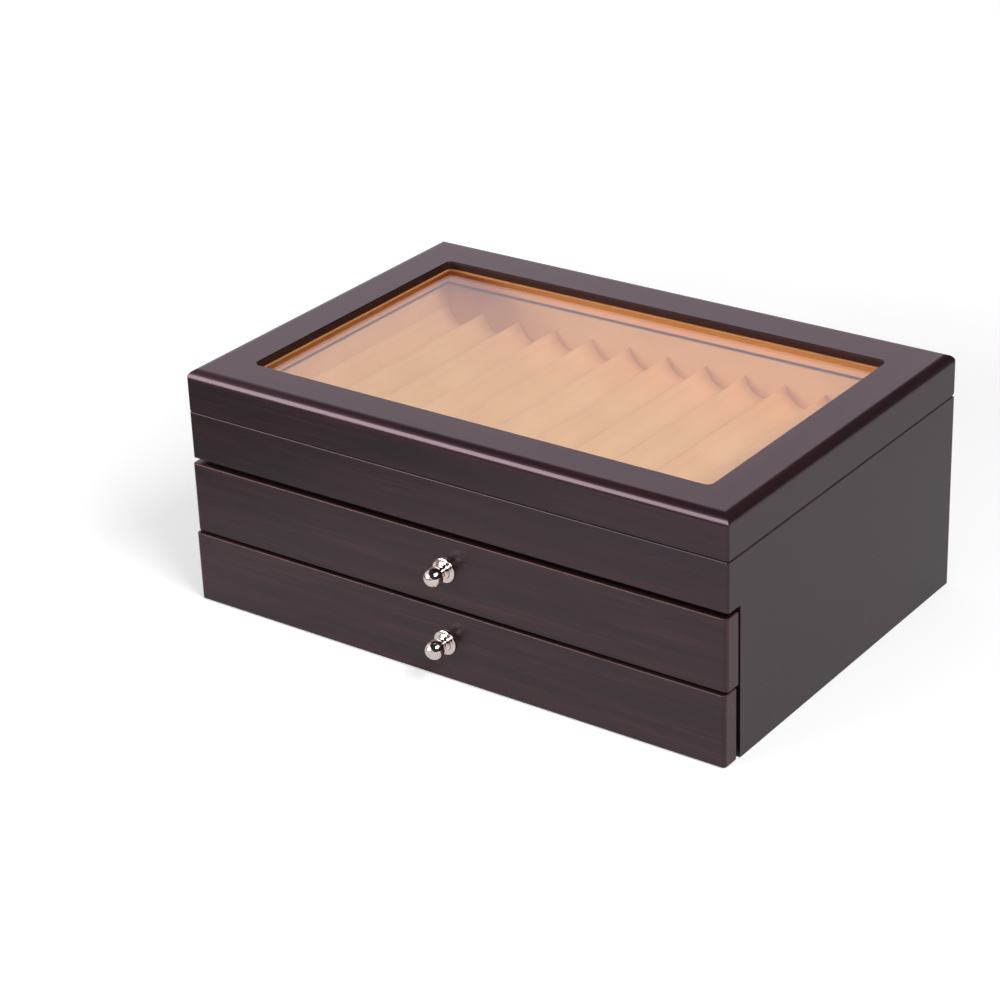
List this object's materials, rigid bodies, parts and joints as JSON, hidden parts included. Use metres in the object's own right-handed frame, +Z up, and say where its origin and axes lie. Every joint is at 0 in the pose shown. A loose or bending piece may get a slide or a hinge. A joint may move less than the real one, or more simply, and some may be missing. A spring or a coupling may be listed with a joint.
{
  "type": "pen display chest",
  "caption": "Low wooden chest with a hinged window lid over a slotted fabric tray and two stacked drawers with small ball knobs, for laying pens side by side.",
  "frame": {"origin": "centre of the flat face that rests on the table, below the middle of the case", "axes": "+X to the right along the front, +Y from the drawer fronts to the back, +Z up"},
  "size_m": [0.31, 0.2265, 0.125],
  "materials": {
    "case_wood": "semi-gloss lacquer on dark veneer",
    "drawer_wood": "semi-gloss lacquer on dark veneer with fine grain",
    "inner_board": "matte dark stain",
    "camel_velvet": "short pile",
    "glass": "clear float glass",
    "nickel": "polished nickel plate",
    "brass": "satin",
    "zinc_steel": "zinc plated"
  },
  "bodies": {
    "case": {"left_side_panel": "case_wood", "right_side_panel": "case_wood", "back_panel": "case_wood", "front_rail": "case_wood", "tray_deck": "inner_board", "drawer_divider": "inner_board", "bottom_panel": "inner_board", "case_lining": "camel_velvet", "top_tray_insert": "camel_velvet", "left_hinge_case_leaf": "brass", "right_hinge_case_leaf": "brass", "hinge_pins": "brass", "case_hinge_screws": "brass"},
    "lid": {"lid_top_frame": "case_wood", "lid_front_rail": "case_wood", "lid_back_rail": "case_wood", "lid_left_rail": "case_wood", "lid_right_rail": "case_wood", "lid_glass": "glass", "glass_holder": "camel_velvet", "lid_lining": "camel_velvet", "left_hinge_lid_leaf": "brass", "right_hinge_lid_leaf": "brass", "lid_hinge_screws": "brass"},
    "upper_drawer": {"upper_drawer_front": "drawer_wood", "upper_drawer_left_side": "inner_board", "upper_drawer_right_side": "inner_board", "upper_drawer_back": "inner_board", "upper_drawer_bottom": "inner_board", "upper_drawer_lining": "camel_velvet", "upper_drawer_insert": "camel_velvet", "upper_drawer_knob": "nickel", "upper_drawer_knob_screw": "zinc_steel"},
    "lower_drawer": {"lower_drawer_front": "drawer_wood", "lower_drawer_left_side": "inner_board", "lower_drawer_right_side": "inner_board", "lower_drawer_back": "inner_board", "lower_drawer_bottom": "inner_board", "lower_drawer_lining": "camel_velvet", "lower_drawer_insert": "camel_velvet", "lower_drawer_knob": "nickel", "lower_drawer_knob_screw": "zinc_steel"}
  },
  "joints": [
    {"name": "lid_hinge", "type": "hinge", "parent": "case", "child": "lid", "pos_m": [0, 0.1033, 0.103], "axis": [-1, 0, 0], "range_deg": [0, 98]},
    {"name": "upper_drawer_slide", "type": "slide", "parent": "case", "child": "upper_drawer", "axis": [0, -1, 0], "range_m": [-0.0015, 0.15]},
    {"name": "lower_drawer_slide", "type": "slide", "parent": "case", "child": "lower_drawer", "axis": [0, -1, 0], "range_m": [-0.0032, 0.15]}
  ]
}
